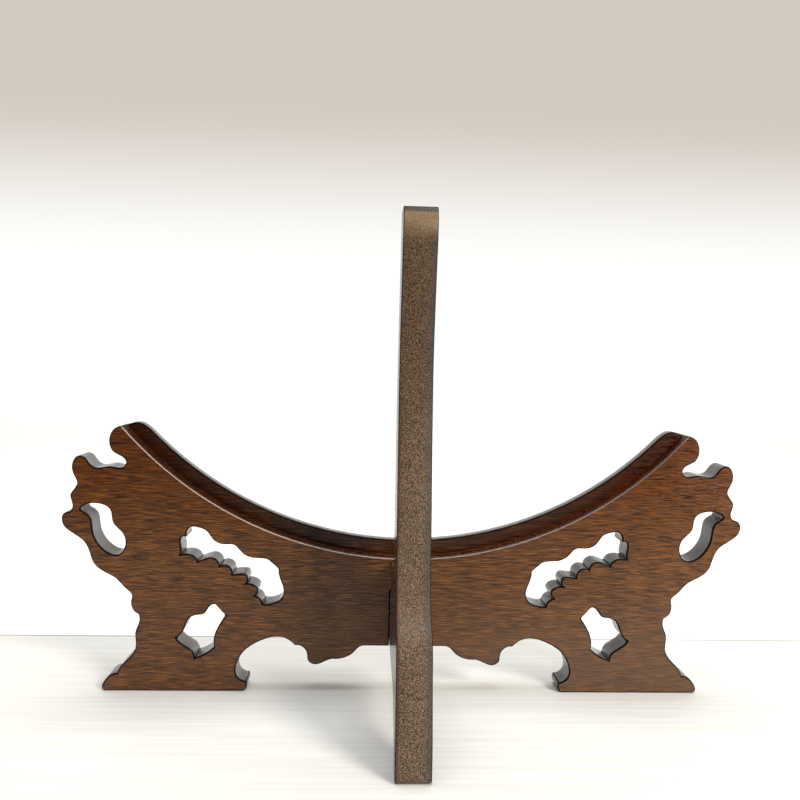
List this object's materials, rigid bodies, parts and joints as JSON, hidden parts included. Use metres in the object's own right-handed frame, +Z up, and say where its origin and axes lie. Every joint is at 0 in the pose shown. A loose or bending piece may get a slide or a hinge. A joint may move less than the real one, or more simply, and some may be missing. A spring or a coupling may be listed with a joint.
{
  "type": "plate display stand",
  "caption": "Wooden plate stand: fretted front panel of two outward-facing dragons with a round seat and lip, crossed by an upright back leg.",
  "frame": {"origin": "on the floor plane, under the middle of the bounding box", "axes": "+X along the panel's width, +Y from the plate's side towards the back leg's foot, +Z up"},
  "size_m": [0.3038, 0.0982, 0.21],
  "materials": {
    "panel_wood": "satin",
    "leg_wood": "satin"
  },
  "bodies": {
    "leg": {"back_leg": "leg_wood"},
    "panel": {"front_panel": "panel_wood"}
  },
  "joints": [
    {"name": "panel_lift", "type": "slide", "parent": "leg", "child": "panel", "axis": [0, 0, 1], "range_m": [0, 0.045]}
  ]
}
